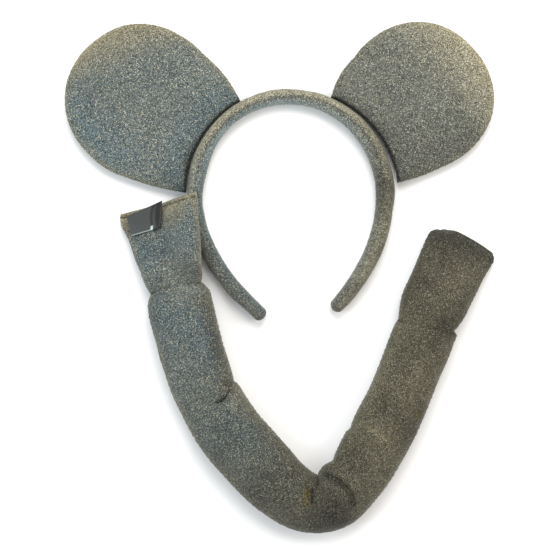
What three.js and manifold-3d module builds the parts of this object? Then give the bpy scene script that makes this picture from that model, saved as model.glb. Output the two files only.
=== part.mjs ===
// A costume set in sparkly grey velour: a padded headband with two round ears, and a stuffed tail.
// Millimetres. The set lies flat: +X to the right, +Y from the band's tips towards the ears, +Z up.
// The tail's top end lies over the band's left leg, and its other creases are where it bends.
import * as THREE from 'three';
import { LoftGeometry } from 'three/addons/geometries/LoftGeometry.js';
import { mergeVertices } from 'three/addons/utils/BufferGeometryUtils.js';
import Module from 'manifold-3d';

const wasm = await Module();
wasm.setup();

// ---- Driving dimensions ----
// Cloth and clearances
const clothThickness = 1.2;
const pieceGap = 0.3;

// Headband: the middle line of the band is a crown arc with a gentler arc and a straight end on each side
const crownCentre = new THREE.Vector2( 7.3, 63 );
const crownRadius = 70;
const crownPastLevel = 4;
const leftLeg = { side: - 1, bendRadius: 108, bendDegrees: 40.3, straightEnd: 28.5 };
const rightLeg = { side: 1, bendRadius: 127, bendDegrees: 37, straightEnd: 10.5 };
const bandThickness = 11.5;
const bandHeight = 16;
const tipRounding = 4.5;
const tipFlatWidth = 4;
const stripThickness = 1.8;
const stripHeight = 9;
const stripShortOfTip = 7;
const flexDegrees = 14;

// Ears: a circle joined by two straight sides to a base that follows the band
const leftEar = {
	side: 'left', centreDegrees: 148.5, reach: 127.6, radius: 56.6, baseDegrees: [ 118.5, 180.5 ],
};
const rightEar = {
	side: 'right', centreDegrees: 36.3, reach: 117.8, radius: 54.9, baseDegrees: [ 5, 66.5 ],
};
const earThickness = 10;
const earRimThickness = 2.7;
const earCrownWidth = 22;
const earBaseClearance = 1.2;
const earSideBow = 1.2;
const stiffenerThickness = 1.2;
const stiffenerInset = 5;
const waddingInset = 3;

// Tail: its middle line, with the width and height of the stuffed tube at each point
const tailShape = [
	{ x: - 89, y: 54, width: 59, height: 10 },
	{ x: - 82.5, y: 24, width: 51, height: 20 },
	{ x: - 77, y: - 7.5, width: 40, height: 25, crease: true },
	{ x: - 68, y: - 42.5, width: 47.5, height: 30 },
	{ x: - 54, y: - 87, width: 45.5, height: 27, crease: true },
	{ x: - 25, y: - 126.4, width: 49.5, height: 30 },
	{ x: 1.5, y: - 153.5, width: 46.5, height: 29 },
	{ x: 30, y: - 165.5, width: 45.7, height: 25, crease: true },
	{ x: 53.5, y: - 148.7, width: 43, height: 29 },
	{ x: 78.5, y: - 105.5, width: 46, height: 30 },
	{ x: 107, y: - 35, width: 45.5, height: 27, crease: true },
	{ x: 120, y: - 5, width: 49, height: 26 },
	{ x: 137.5, y: 27, width: 47.8, height: 8 },
];
const tailOpenDegrees = 20;
const tailCloseDegrees = 8;
const tailOverLegClearance = 1;
const tailDrapeWidth = 24;
const tailEndWall = 2.5;
const sectionsPerSpan = 3;

// Satin loop: a ribbon folded double, sewn to the tail's top near its left side
const loopRibbonWidth = 18;
const loopReach = 23.5;
const loopFromSide = 4.5;
const loopPastTop = 1;
const ribbonThickness = 0.6;
const loopOpening = 1.2;
const loopAboveTail = 0.6;

// ---- Colours and finishes ----
const velour = { color: 0x6f736b, roughness: 0.85, metalness: 0 };
const blueVelour = { color: 0x65717a, roughness: 0.85, metalness: 0 };
const oliveVelour = { color: 0x6b6a58, roughness: 0.85, metalness: 0 };
const foamFinish = { color: 0xd8d6cc, roughness: 0.95, metalness: 0 };
const plasticFinish = { color: 0x2a2c2e, roughness: 0.5, metalness: 0 };
const fillingFinish = { color: 0xf2f2ee, roughness: 1, metalness: 0 };
const satinFinish = { color: 0x1f2326, roughness: 0.3, metalness: 0 };

const set = new THREE.Group();
const up = new THREE.Vector3( 0, 0, 1 );
const radians = THREE.MathUtils.degToRad;

// ---- Solids ----

// A closed geometry as a solid that can be joined and cut.
function solidOf( geometry ) {

	const plain = new THREE.BufferGeometry().copy( geometry );
	plain.deleteAttribute( 'normal' );
	plain.deleteAttribute( 'uv' );
	const merged = mergeVertices( plain, 1e-4 );
	const vertProperties = new Float32Array( merged.attributes.position.array );
	const triVerts = new Uint32Array( merged.index.array );
	return new wasm.Manifold( new wasm.Mesh( { numProp: 3, vertProperties, triVerts } ) );

}

// Adds one solid to the set as a named mesh.
function addPiece( name, solid, finish ) {

	const { vertProperties, triVerts } = solid.getMesh();
	const geometry = new THREE.BufferGeometry();
	geometry.setAttribute( 'position', new THREE.BufferAttribute( vertProperties, 3 ) );
	geometry.setIndex( new THREE.BufferAttribute( triVerts, 1 ) );
	geometry.computeVertexNormals();
	const mesh = new THREE.Mesh( geometry, new THREE.MeshStandardMaterial( finish ) );
	mesh.name = name;
	set.add( mesh );

}

// A solid skinned over rings of points.
function skin( rings ) {

	return solidOf( new LoftGeometry( rings, { capStart: true, capEnd: true } ) );

}

// The points of a rounded section, from -1 to 1 each way, with a flat facet at its top, bottom and sides.
// A squareness of 2 is an ellipse, and more is squarer.
function roundedSection( count, squareness ) {

	const power = 2 / squareness;
	const reach = Math.cos( Math.PI / count ) ** power;
	const rounded = ( value ) => Math.sign( value ) * Math.abs( value ) ** power / reach;
	return Array.from( { length: count }, ( _, i ) => {

		const angle = 2 * Math.PI * ( i + 0.5 ) / count;
		return { across: rounded( Math.cos( angle ) ), rise: rounded( Math.sin( angle ) ) };

	} );

}

// ---- Headband ----

const flexGap = bandThickness / 2 * Math.sin( radians( flexDegrees ) ) + pieceGap;
const bandSection = roundedSection( 12, 2.8 );
const stripSection = roundedSection( 4, 2 );

// A place on a circle, and the way to the left of travel there. Turn is +1 anticlockwise.
function placeOnArc( centre, radius, angle, turn ) {

	const outward = new THREE.Vector2( Math.cos( angle ), Math.sin( angle ) );
	const point = centre.clone().addScaledVector( outward, radius );
	return { point, left: outward.multiplyScalar( - turn ) };

}

// Places along the crown, from right to left, with each end moved in by a distance.
function crownPlaces( endInset ) {

	const steps = 20;
	const inset = endInset / crownRadius;
	const from = - radians( crownPastLevel ) + inset;
	const to = Math.PI + radians( crownPastLevel ) - inset;
	return Array.from( { length: steps + 1 }, ( _, i ) =>
		placeOnArc( crownCentre, crownRadius, from + ( to - from ) * i / steps, 1 ) );

}

// The angle round the crown at which a leg starts.
function flexAngle( leg ) {

	return leg.side > 0 ? - radians( crownPastLevel ) : Math.PI + radians( crownPastLevel );

}

// The point on the band's middle line where a leg flexes.
function flexPoint( leg ) {

	return placeOnArc( crownCentre, crownRadius, flexAngle( leg ), 1 ).point;

}

// A leg's length along its middle line, from the flex line to its tip.
function legLength( leg ) {

	return leg.bendRadius * radians( leg.bendDegrees ) + leg.straightEnd;

}

// The place at a distance along a leg, from its flex line.
function legPlace( leg, distance ) {

	const turn = - leg.side;
	const start = flexAngle( leg );
	const outward = new THREE.Vector2( Math.cos( start ), Math.sin( start ) );
	const centre = flexPoint( leg ).addScaledVector( outward, - leg.bendRadius );
	const arcLength = leg.bendRadius * radians( leg.bendDegrees );
	const along = Math.min( distance, arcLength );
	const place = placeOnArc( centre, leg.bendRadius, start + turn * along / leg.bendRadius, turn );
	const heading = new THREE.Vector2( place.left.y, - place.left.x );
	place.point.addScaledVector( heading, distance - along );
	return place;

}

// One ring of a band section, with the band's middle height as its centre.
function bandRing( place, section, halfThickness, halfHeight ) {

	return section.map( ( { across, rise } ) => new THREE.Vector3(
		place.point.x + place.left.x * across * halfThickness,
		place.point.y + place.left.y * across * halfThickness,
		bandHeight / 2 + rise * halfHeight,
	) );

}

// How full the band is at a distance from a leg's tip: 1 along the leg, rounding to its flat end at the tip.
function tipFullness( distanceToTip ) {

	const atEnd = Math.sqrt( 1 - ( tipFlatWidth / bandThickness ) ** 2 );
	const into = THREE.MathUtils.clamp( 1 - distanceToTip / tipRounding, 0, atEnd );
	return Math.sqrt( 1 - into * into );

}

// A length of band set in by a distance all round. Its flex ends are moved by endInset.
function crownSolid( inset, endInset ) {

	const rings = crownPlaces( endInset ).map( ( place ) =>
		bandRing( place, bandSection, bandThickness / 2 - inset, bandHeight / 2 - inset ) );
	return skin( rings );

}

function legSolid( leg, inset, endInset ) {

	const steps = 10;
	const length = legLength( leg ) - inset;
	const stops = Array.from( { length: steps }, ( _, i ) =>
		endInset + ( length - tipRounding - endInset ) * i / ( steps - 1 ) );
	for ( const share of [ 1 / 3, 1 / 9, 0 ] ) stops.push( length - tipRounding * share );
	const rings = stops.map( ( distance ) => {

		const full = tipFullness( length - distance );
		const halfThickness = ( bandThickness / 2 - inset ) * full;
		return bandRing( legPlace( leg, distance ), bandSection, halfThickness, ( bandHeight / 2 - inset ) * full );

	} );
	return skin( rings );

}

// The plastic strip that shapes the band, or the hole for it when a clearance is given.
function crownStrip( clearance, endInset ) {

	return skin( crownPlaces( endInset ).map( ( place ) =>
		bandRing( place, stripSection, stripThickness / 2 + clearance, stripHeight / 2 + clearance ) ) );

}

function legStrip( leg, clearance, endInset ) {

	const steps = 9;
	const length = legLength( leg ) - stripShortOfTip + clearance;
	const rings = Array.from( { length: steps + 1 }, ( _, i ) => bandRing(
		legPlace( leg, endInset + ( length - endInset ) * i / steps ),
		stripSection, stripThickness / 2 + clearance, stripHeight / 2 + clearance ) );
	return skin( rings );

}

// One length of the band: the cover, the foam inside it and the strip inside the foam.
function addBand( name, bandAt, stripAt, coverFinish ) {

	const endInset = flexGap / 2;
	const pastEnd = endInset - clothThickness;
	const cover = bandAt( 0, endInset ).subtract( bandAt( clothThickness, pastEnd ) );
	const foam = bandAt( clothThickness + pieceGap, endInset ).subtract( stripAt( pieceGap, pastEnd ) );
	addPiece( `${ name }_cover`, cover, coverFinish );
	addPiece( `${ name }_foam`, foam, foamFinish );
	addPiece( `${ name }_strip`, stripAt( 0, endInset ), plasticFinish );

}

// ---- Ears ----

const baseRadius = crownRadius + bandThickness / 2 + earBaseClearance;

// Points along an arc, both ends included.
function arcPoints( centre, radius, from, to, count ) {

	return Array.from( { length: count }, ( _, i ) =>
		placeOnArc( centre, radius, from + ( to - from ) * i / ( count - 1 ), 1 ).point );

}

// The centre of an ear's circle.
function earCentre( ear ) {

	return placeOnArc( crownCentre, ear.reach, radians( ear.centreDegrees ), 1 ).point;

}

// An ear's outline, anticlockwise: the base from its last angle to its first, a side, the circle, a side.
function earOutline( ear ) {

	const centre = earCentre( ear );
	const [ first, last ] = ear.baseDegrees.map( radians );
	const base = arcPoints( crownCentre, baseRadius, last, first, 7 );
	const touch = ( corner, turn ) => {

		const away = corner.clone().sub( centre );
		return away.angle() + turn * Math.acos( ear.radius / away.length() );

	};

	const start = touch( base[ base.length - 1 ], 1 );
	let end = touch( base[ 0 ], - 1 );
	while ( end < start ) end += 2 * Math.PI;
	const round = arcPoints( centre, ear.radius, start, end, 23 );
	const bowed = ( from, to ) => {

		const middle = from.clone().lerp( to, 0.5 );
		const run = to.clone().sub( from ).normalize();
		return middle.add( new THREE.Vector2( run.y, - run.x ).multiplyScalar( earSideBow ) );

	};

	const sideIn = bowed( base[ base.length - 1 ], round[ 0 ] );
	const sideOut = bowed( round[ round.length - 1 ], base[ 0 ] );
	return [ ...base, sideIn, ...round, sideOut ];

}

// Half an ear's thickness at a distance in from its rim.
function earHalfThickness( fromRim ) {

	const short = 1 - Math.min( fromRim / earCrownWidth, 1 );
	return earRimThickness / 2 + ( earThickness - earRimThickness ) / 2 * Math.sqrt( 1 - short * short );

}

// A layer of an ear, between two heights that depend on the distance from the rim. Its rings lie at the
// given distances in from its own edge.
function earLayer( ear, inset, ringsIn, lowAt, highAt ) {

	const centre = earCentre( ear );
	const outline = earOutline( ear );
	const count = outline.length;
	const points = [];
	for ( const heightAt of [ highAt, lowAt ] ) {

		for ( const ringIn of ringsIn ) {

			for ( const corner of outline ) {

				const inward = centre.clone().sub( corner ).setLength( inset + ringIn );
				const point = corner.clone().add( inward );
				points.push( point.x, point.y, bandHeight / 2 + heightAt( inset + ringIn ) );

			}

		}

		points.push( centre.x, centre.y, bandHeight / 2 + heightAt( ear.radius ) );

	}

	const perFace = ringsIn.length * count + 1;
	const faces = [];
	const quad = ( a, b, c, d ) => faces.push( a, b, c, a, c, d );
	for ( let j = 0; j < count; j ++ ) {

		const next = ( j + 1 ) % count;
		for ( let r = 0; r < ringsIn.length - 1; r ++ ) {

			const outer = r * count;
			const inner = outer + count;
			quad( outer + j, outer + next, inner + next, inner + j );
			quad( perFace + outer + next, perFace + outer + j, perFace + inner + j, perFace + inner + next );

		}

		const last = ( ringsIn.length - 1 ) * count;
		faces.push( last + j, last + next, perFace - 1 );
		faces.push( perFace + last + next, perFace + last + j, 2 * perFace - 1 );
		quad( perFace + j, perFace + next, next, j );

	}

	const geometry = new THREE.BufferGeometry();
	geometry.setAttribute( 'position', new THREE.Float32BufferAttribute( points, 3 ) );
	geometry.setIndex( faces );
	return solidOf( geometry );

}

// One ear: the front and back panels meet at the rim, with the wadding and the stiffener between them.
function addEar( ear, finish ) {

	const half = stiffenerThickness / 2;
	const panelInside = ( fromRim ) => Math.max( earHalfThickness( fromRim ) - clothThickness, pieceGap / 2 );
	const waddingOutside = ( fromRim ) => panelInside( fromRim ) - pieceGap;
	const below = ( heightAt ) => ( fromRim ) => - heightAt( fromRim );
	const nearStiffener = () => half + pieceGap;
	const name = `${ ear.side }_ear`;
	const panelRings = [ 0, 3, 9, earCrownWidth ];
	const panel = ( low, high ) => earLayer( ear, 0, panelRings, low, high );
	addPiece( `${ name }_front_panel`, panel( panelInside, earHalfThickness ), finish );
	addPiece( `${ name }_back_panel`, panel( below( earHalfThickness ), below( panelInside ) ), finish );
	const waddingRings = panelRings.slice( 1 ).map( ( ringIn ) => ringIn - waddingInset );
	const wadding = ( low, high ) => earLayer( ear, waddingInset, waddingRings, low, high );
	const frontWadding = wadding( nearStiffener, waddingOutside );
	const backWadding = wadding( below( waddingOutside ), below( nearStiffener ) );
	addPiece( `${ name }_front_wadding`, frontWadding, fillingFinish );
	addPiece( `${ name }_back_wadding`, backWadding, fillingFinish );
	const stiffener = earLayer( ear, stiffenerInset, [ 0 ], () => - half, () => half );
	addPiece( `${ name }_stiffener`, stiffener, foamFinish );

}

// ---- Tail ----

const tailLine = new THREE.CatmullRomCurve3( tailShape.map( ( { x, y } ) => new THREE.Vector3( x, y, 0 ) ) );
const tailSizes = new THREE.CatmullRomCurve3(
	tailShape.map( ( { width, height } ) => new THREE.Vector3( width, height, 0 ) ) );
const tailSection = roundedSection( 16, 2.3 );
const lastSpan = tailShape.length - 1;
const spanLength = tailLine.getLength() / lastSpan;
const legTop = bandHeight + tailOverLegClearance;

// The place on the tail at a number of spans from its top end.
function tailPlace( spans ) {

	const point = tailLine.getPoint( spans / lastSpan );
	const heading = tailLine.getTangent( spans / lastSpan );
	const size = tailSizes.getPoint( spans / lastSpan );
	return { point, left: up.clone().cross( heading ), width: size.x, height: size.y };

}

// How far outside the band's left side a point is, seen from above. Negative is over the band or past it.
// The band's right side isn't counted, because nothing lies over it.
function outsideBand( point ) {

	if ( point.x > crownCentre.x ) return Infinity;
	const flex = flexPoint( leftLeg );
	const start = flexAngle( leftLeg );
	const inward = new THREE.Vector2( - Math.cos( start ), - Math.sin( start ) );
	const onCrown = point.y > flex.y;
	const centre = onCrown ? crownCentre : flex.addScaledVector( inward, leftLeg.bendRadius );
	const radius = onCrown ? crownRadius : leftLeg.bendRadius;
	return centre.distanceTo( new THREE.Vector2( point.x, point.y ) ) - radius - bandThickness / 2;

}

// How far the band's left leg lifts the tail at a place: fully over the leg, easing to nothing across the
// drape width, and only along the part of the tail whose inner edge reaches the leg.
function liftUnder( { point, left, width }, across ) {

	const edge = outsideBand( point.clone().addScaledVector( left, width / 2 ) );
	const reaching = 1 - THREE.MathUtils.smoothstep( edge, tailOverLegClearance, bandThickness );
	const here = outsideBand( point.clone().addScaledVector( left, across ) );
	const far = tailOverLegClearance + tailDrapeWidth;
	return legTop * reaching * ( 1 - THREE.MathUtils.smoothstep( here, tailOverLegClearance, far ) );

}

// The tail's outer shape, set in by a distance, from one number of spans to another.
function tailSolid( inset, fromSpans, toSpans, stepsPerSpan ) {

	const steps = Math.round( ( toSpans - fromSpans ) * stepsPerSpan );
	const rings = Array.from( { length: steps + 1 }, ( _, i ) => {

		const spans = fromSpans + ( toSpans - fromSpans ) * i / steps;
		const place = tailPlace( spans );
		const { point, left, width, height } = place;
		return tailSection.map( ( { across, rise } ) => {

			const sideways = across * ( width / 2 - inset );
			const ring = point.clone().addScaledVector( left, sideways );
			ring.z = height / 2 + rise * ( height / 2 - inset ) + liftUnder( place, sideways );
			return ring;

		} );

	} );
	return skin( rings );

}

const creases = tailShape.flatMap( ( { crease }, i ) => crease ? [ i ] : [] );

// The part of the plane that one length of tail may fill, as a prism. At a crease its end is a shallow
// point on the middle line, so that the two lengths can turn about the crease's upright axis. The inner
// side, where closing squeezes the tail, and the outer side are each cut back as far as their turn needs.
function lengthPrism( fromCrease, toCrease ) {

	const sideways = Math.max( ...tailShape.map( ( place ) => place.width ) );
	const back = ( side ) => {

		const turn = side > 0 ? tailCloseDegrees : side < 0 ? tailOpenDegrees : 0;
		return pieceGap + sideways * Math.tan( radians( turn / 2 ) );

	};

	const corners = ( spans, direction ) => {

		const { point, left } = tailPlace( spans );
		const along = new THREE.Vector3().crossVectors( left, up ).multiplyScalar( direction );
		return [ 1, 0, - 1 ].map( ( side ) => point.clone()
			.addScaledVector( left, side * sideways )
			.addScaledVector( along, back( side ) ) );

	};

	const openEnd = ( spans, direction ) => {

		const { point, left } = tailPlace( spans );
		const along = new THREE.Vector3().crossVectors( left, up ).multiplyScalar( direction );
		return [ 1, - 1 ].map( ( side ) => point.clone()
			.addScaledVector( left, side * sideways )
			.addScaledVector( along, - sideways / 2 ) );

	};

	const start = fromCrease === undefined ? openEnd( 0, 1 ) : corners( fromCrease, 1 );
	const end = toCrease === undefined ? openEnd( lastSpan, - 1 ) : corners( toCrease, - 1 );
	const outline = [ ...start, ...end.reverse() ].map( ( { x, y } ) => new THREE.Vector2( x, y ) );
	const height = 3 * bandHeight + 2 * Math.max( ...tailShape.map( ( place ) => place.height ) );
	const shape = new THREE.Shape( outline );
	const prism = new THREE.ExtrudeGeometry( shape, { depth: height, bevelEnabled: false } );
	prism.translate( 0, 0, - height / 4 );
	return solidOf( prism );

}

// The tail's cover and filling, one length between each crease and the next.
function addTail() {

	const endInset = tailEndWall / spanLength;
	const outside = tailSolid( 0, 0, lastSpan, sectionsPerSpan );
	const inside = tailSolid( clothThickness, endInset, lastSpan - endInset, sectionsPerSpan );
	const cover = outside.subtract( inside );
	const fillingInset = clothThickness + pieceGap;
	const filling = tailSolid( fillingInset, 2 * endInset, lastSpan - 2 * endInset, sectionsPerSpan - 1 );
	const ends = [ undefined, ...creases, undefined ];
	const finishes = [ blueVelour, blueVelour, velour, oliveVelour, oliveVelour ];
	for ( let i = 0; i < ends.length - 1; i ++ ) {

		const prism = lengthPrism( ends[ i ], ends[ i + 1 ] );
		addPiece( `tail_${ i + 1 }_cover`, cover.intersect( prism ), finishes[ i % finishes.length ] );
		addPiece( `tail_${ i + 1 }_filling`, filling.intersect( inside ).intersect( prism ), fillingFinish );

	}

}

// ---- Satin loop ----

// The height of the tail's upper side at a place near its top end, on the straight edge between the two
// points of the tail's section that are on either side of it.
function tailTopAt( spans, across ) {

	const place = tailPlace( spans );
	const { width, height } = place;
	const upper = tailSection.filter( ( { rise } ) => rise > 0 ).map( ( point ) => {

		const sideways = point.across * width / 2;
		return { sideways, top: height / 2 * ( 1 + point.rise ) + liftUnder( place, sideways ) };

	} );
	const after = Math.max( 1, upper.findIndex( ( { sideways } ) => sideways < across ) );
	const [ one, other ] = [ upper[ after - 1 ], upper[ after ] ];
	const share = ( across - one.sideways ) / ( other.sideways - one.sideways );
	return one.top + ( other.top - one.top ) * share;

}

// The ribbon is folded double: its profile runs in along the lower layer and back along the upper one.
// Rings of that profile are skinned across the ribbon's width.
function addLoop() {

	const sewnEdge = tailShape[ 0 ].width / 2;
	const stopShares = [ 0, 0.08, 0.2, 0.45, 0.72, 1 ];
	const profileAt = ( distance ) => {

		const spans = Math.max( distance, 0 ) / spanLength;
		const { point, left } = tailPlace( spans );
		const heading = new THREE.Vector3().crossVectors( left, up );
		const place = ( in_, rise ) => {

			const across = loopFromSide - sewnEdge + in_;
			const spot = point.clone().addScaledVector( left, across );
			spot.addScaledVector( heading, Math.min( distance, 0 ) );
			spot.z = tailTopAt( spans, across ) + loopAboveTail + rise;
			return spot;

		};

		const stops = stopShares.map( ( share ) => share * loopReach );
		const upperUnder = ribbonThickness + loopOpening;
		const top = upperUnder + ribbonThickness;
		const turn = top / 2;
		const there = stops.map( ( in_ ) => place( in_, 0 ) );
		const fold = [ - 45, 0, 45 ].map( radians ).map( ( angle ) =>
			place( loopReach + turn * Math.cos( angle ), turn + turn * Math.sin( angle ) ) );
		const back = [ ...stops ].reverse().map( ( in_ ) => place( in_, top ) );
		const backUnder = stops.map( ( in_ ) => place( in_, upperUnder ) );
		const insideFold = [ place( loopReach + turn - ribbonThickness, turn ) ];
		const thereTop = [ ...stops ].reverse().map( ( in_ ) => place( in_, ribbonThickness ) );
		return [ ...there, ...fold, ...back, ...backUnder, ...insideFold, ...thereTop ];

	};

	const steps = 4;
	const rings = Array.from( { length: steps + 1 }, ( _, i ) =>
		profileAt( loopRibbonWidth * i / steps - loopPastTop ) );
	addPiece( 'satin_loop', skin( rings ), satinFinish );

}

addBand( 'crown', crownSolid, crownStrip, velour );
for ( const [ name, leg ] of Object.entries( { left_leg: leftLeg, right_leg: rightLeg } ) ) {

	const bandAt = ( ...sizes ) => legSolid( leg, ...sizes );
	const stripAt = ( ...sizes ) => legStrip( leg, ...sizes );
	addBand( name, bandAt, stripAt, velour );

}

addEar( leftEar, blueVelour );
addEar( rightEar, oliveVelour );
addTail();
addLoop();

export default set;
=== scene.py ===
import math

import bpy
import numpy as np
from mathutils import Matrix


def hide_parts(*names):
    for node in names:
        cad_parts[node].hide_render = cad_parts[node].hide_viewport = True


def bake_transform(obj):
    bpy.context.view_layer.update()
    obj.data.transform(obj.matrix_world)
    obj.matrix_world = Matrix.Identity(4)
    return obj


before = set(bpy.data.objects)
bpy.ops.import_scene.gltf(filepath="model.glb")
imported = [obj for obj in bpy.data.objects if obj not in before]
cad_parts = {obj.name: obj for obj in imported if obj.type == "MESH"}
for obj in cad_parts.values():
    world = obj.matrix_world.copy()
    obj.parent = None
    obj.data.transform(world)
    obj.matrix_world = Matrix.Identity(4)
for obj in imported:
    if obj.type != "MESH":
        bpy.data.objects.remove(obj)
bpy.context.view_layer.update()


# ---- The view ----
# The set lies on its side on a pale floor and is looked at from straight above,
# from about the height of a hand-held camera.
MM = 0.001
view_height = 0.85
view_width = 0.4116
view_middle = (0.0, -0.00184)
sharpest_height = 0.011

camera = bpy.data.objects.new("view_from_above", bpy.data.cameras.new("view_from_above"))
camera.data.sensor_width = 36
camera.data.lens = camera.data.sensor_width * (view_height - sharpest_height) / view_width
camera.location = (*view_middle, view_height)
bpy.context.scene.collection.objects.link(camera)
bpy.context.scene.camera = camera
bpy.context.scene.view_settings.view_transform = "Standard"


# ---- The velour ----
# Every cover is cut from one sparkly grey velour: a short knitted pile with metallic yarn in it. Its
# colour carries painted light: painted blue-grey light from one side, painted golden light and highlights
# from the other, and painted shade in creases and where less light falls.
# The grey is the cloth's own colour; the blue and the gold are tints of painted cool and warm light.
velour_painted_cool_light = (0.056, 0.094, 0.112)
velour_grey = (0.100, 0.106, 0.094)
velour_painted_warm_light = (0.230, 0.200, 0.118)
velour_stain = (0.200, 0.150, 0.020)
grain_per_metre = 1950
fine_grain_per_metre = 3700
clump_per_metre = 900.0
patch_per_metre = 38
# the least and the most light on each size of tuft, clump and patch
tuft_light = (0.22, 1.62)
fine_tuft_light = (0.40, 1.52)
clump_light = (0.84, 1.18)
patch_light = (0.88, 1.12)
yarn_colours = (0.56, 0.60, 0.54), (0.66, 0.56, 0.34)
brightest_tufts = (0.84, 0.98)
yarn_cover = 0.60
# how much the painted shade darkens the cloth and the yarn
painted_shade_depth = 0.88, 0.62


def node(tree, kind, links=None, **settings):
    """Adds a node with these settings, and joins each named or numbered input to a socket or a value."""
    made = tree.nodes.new(kind)
    for name, value in settings.items():
        setattr(made, name, value)
    for name, value in (links or {}).items():
        if isinstance(value, bpy.types.NodeSocket):
            tree.links.new(value, made.inputs[name])
        else:
            made.inputs[name].default_value = value
    return made


def math_node(tree, operation, *values):
    """The output of a Math node that works on one, two or three sockets or numbers."""
    return node(tree, "ShaderNodeMath", dict(enumerate(values)), operation=operation).outputs[0]


def mix_colour(tree, share, one, other, how="MIX"):
    """The output of a colour mix: one where the share is 0, and other where it is 1."""
    made = node(tree, "ShaderNodeMix", {0: share}, data_type="RGBA", blend_type=how)
    for value, place in ((one, 6), (other, 7)):
        if isinstance(value, bpy.types.NodeSocket):
            tree.links.new(value, made.inputs[place])
        else:
            made.inputs[place].default_value = (*value, 1)
    return made.outputs[2]


def spread(tree, value, low, high, to_low, to_high):
    """The output of a clamped Map Range, which carries low to to_low and high to to_high."""
    return node(tree, "ShaderNodeMapRange", {0: value, 1: low, 2: high, 3: to_low, 4: to_high}).outputs[0]


def velour_group():
    """The velour as a node group.

    The ground colour goes from grey towards blue by a mask of painted cool light, then towards gold by a
    mask of painted warm light and highlights, and then towards an olive stain by a third mask. Two sizes of
    random cells set how bright each tuft is, and the brightest few are metallic yarn. Clumps and slow
    patches change the ground a little. A mask of painted shade darkens it, or where it is below 0, paints
    light on it. Clumps and cells also make the bump's height.
    """
    group = bpy.data.node_groups.new("velour_pile", "ShaderNodeTree")
    for way, kind, names in (("INPUT", "Float", ("Blue", "Gold", "Shade", "Stain")),
                             ("OUTPUT", "Color", ("Colour",)),
                             ("OUTPUT", "Float", ("Roughness", "Metallic", "Height"))):
        for name in names:
            group.interface.new_socket(name=name, in_out=way, socket_type="NodeSocket" + kind)
    given = node(group, "NodeGroupInput").outputs
    place = node(group, "ShaderNodeTexCoord").outputs["Object"]
    cells = node(group, "ShaderNodeTexVoronoi", {"Vector": place, "Scale": grain_per_metre})
    fine = node(group, "ShaderNodeTexVoronoi", {"Vector": place, "Scale": fine_grain_per_metre})
    patch = node(group, "ShaderNodeTexNoise",
                 {"Vector": place, "Scale": patch_per_metre, "Detail": 3.0, "Roughness": 0.6})
    clump = node(group, "ShaderNodeTexNoise", {"Vector": place, "Scale": clump_per_metre, "Detail": 2.0})
    one = node(group, "ShaderNodeSeparateColor", {0: cells.outputs["Color"]}).outputs
    two = node(group, "ShaderNodeSeparateColor", {0: fine.outputs["Color"]}).outputs

    ground = mix_colour(group, given["Blue"], velour_grey, velour_painted_cool_light)
    ground = mix_colour(group, given["Gold"], ground, velour_painted_warm_light)
    ground = mix_colour(group, given["Stain"], ground, velour_stain)
    tufts = math_node(group, "MULTIPLY", spread(group, one[0], 0, 1, *tuft_light),
                      spread(group, two[0], 0, 1, *fine_tuft_light))
    slow = math_node(group, "MULTIPLY", spread(group, clump.outputs["Fac"], 0.3, 0.7, *clump_light),
                     spread(group, patch.outputs["Fac"], 0.3, 0.7, *patch_light))

    def lit_by(colour, light):
        grey = node(group, "ShaderNodeCombineColor", {0: light, 1: light, 2: light}).outputs[0]
        return mix_colour(group, 1.0, colour, grey, how="MULTIPLY")

    cloth = lit_by(ground, math_node(group, "MULTIPLY", tufts, slow))
    yarn = spread(group, one[1], *brightest_tufts, 0, 1)
    hue = mix_colour(group, one[2], *yarn_colours)
    # painted shade: the shade mask darkens the cloth and the yarn, and paints light on them where it is below 0
    cloth, hue = (lit_by(colour, math_node(group, "MULTIPLY_ADD", given["Shade"], -dark, 1.0))
                  for colour, dark in zip((cloth, hue), painted_shade_depth))
    colour = mix_colour(group, math_node(group, "MULTIPLY", yarn, yarn_cover), cloth, hue)
    back = node(group, "NodeGroupOutput").inputs
    group.links.new(colour, back["Colour"])
    group.links.new(spread(group, yarn, 0, 1, 0.86, 0.42), back["Roughness"])
    group.links.new(math_node(group, "MULTIPLY", yarn, 0.5), back["Metallic"])
    height = math_node(group, "ADD", math_node(group, "MULTIPLY", cells.outputs["Distance"], 0.7),
                       clump.outputs["Fac"])
    group.links.new(height, back["Height"])
    return group


velour_pile = velour_group()


def velour_material(name):
    """A velour whose painted blue and gold light, painted shade and stain come from the piece's own marks of
    those names.
    """
    made = bpy.data.materials.new(name)
    made.use_nodes = True
    tree = made.node_tree
    shader = tree.nodes["Principled BSDF"]
    pile = node(tree, "ShaderNodeGroup", node_tree=velour_pile)
    for mark in ("Blue", "Gold", "Shade", "Stain"):
        read = node(tree, "ShaderNodeAttribute", attribute_name=mark.lower())
        tree.links.new(read.outputs["Fac"], pile.inputs[mark])
    bump = node(tree, "ShaderNodeBump",
                {"Height": pile.outputs["Height"], "Strength": 0.55, "Distance": 0.5 * MM})
    for value, name in ((pile.outputs["Colour"], "Base Color"), (pile.outputs["Roughness"], "Roughness"),
                        (pile.outputs["Metallic"], "Metallic"), (bump.outputs["Normal"], "Normal")):
        tree.links.new(value, shader.inputs[name])
    shader.inputs["Sheen Weight"].default_value = 0.25
    shader.inputs["Sheen Roughness"].default_value = 0.45
    shader.inputs["Sheen Tint"].default_value = (0.85, 0.88, 0.80, 1)
    shader.inputs["Specular IOR Level"].default_value = 0.25
    return made


# ---- The plastic strip ----
# A springy strip of black plastic gives the band its shape. It runs inside the foam from tip to tip,
# in three lengths here, and the foam and the cover hide it.
strip_colours = (0.012, 0.013, 0.014), (0.03, 0.03, 0.032)


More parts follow.
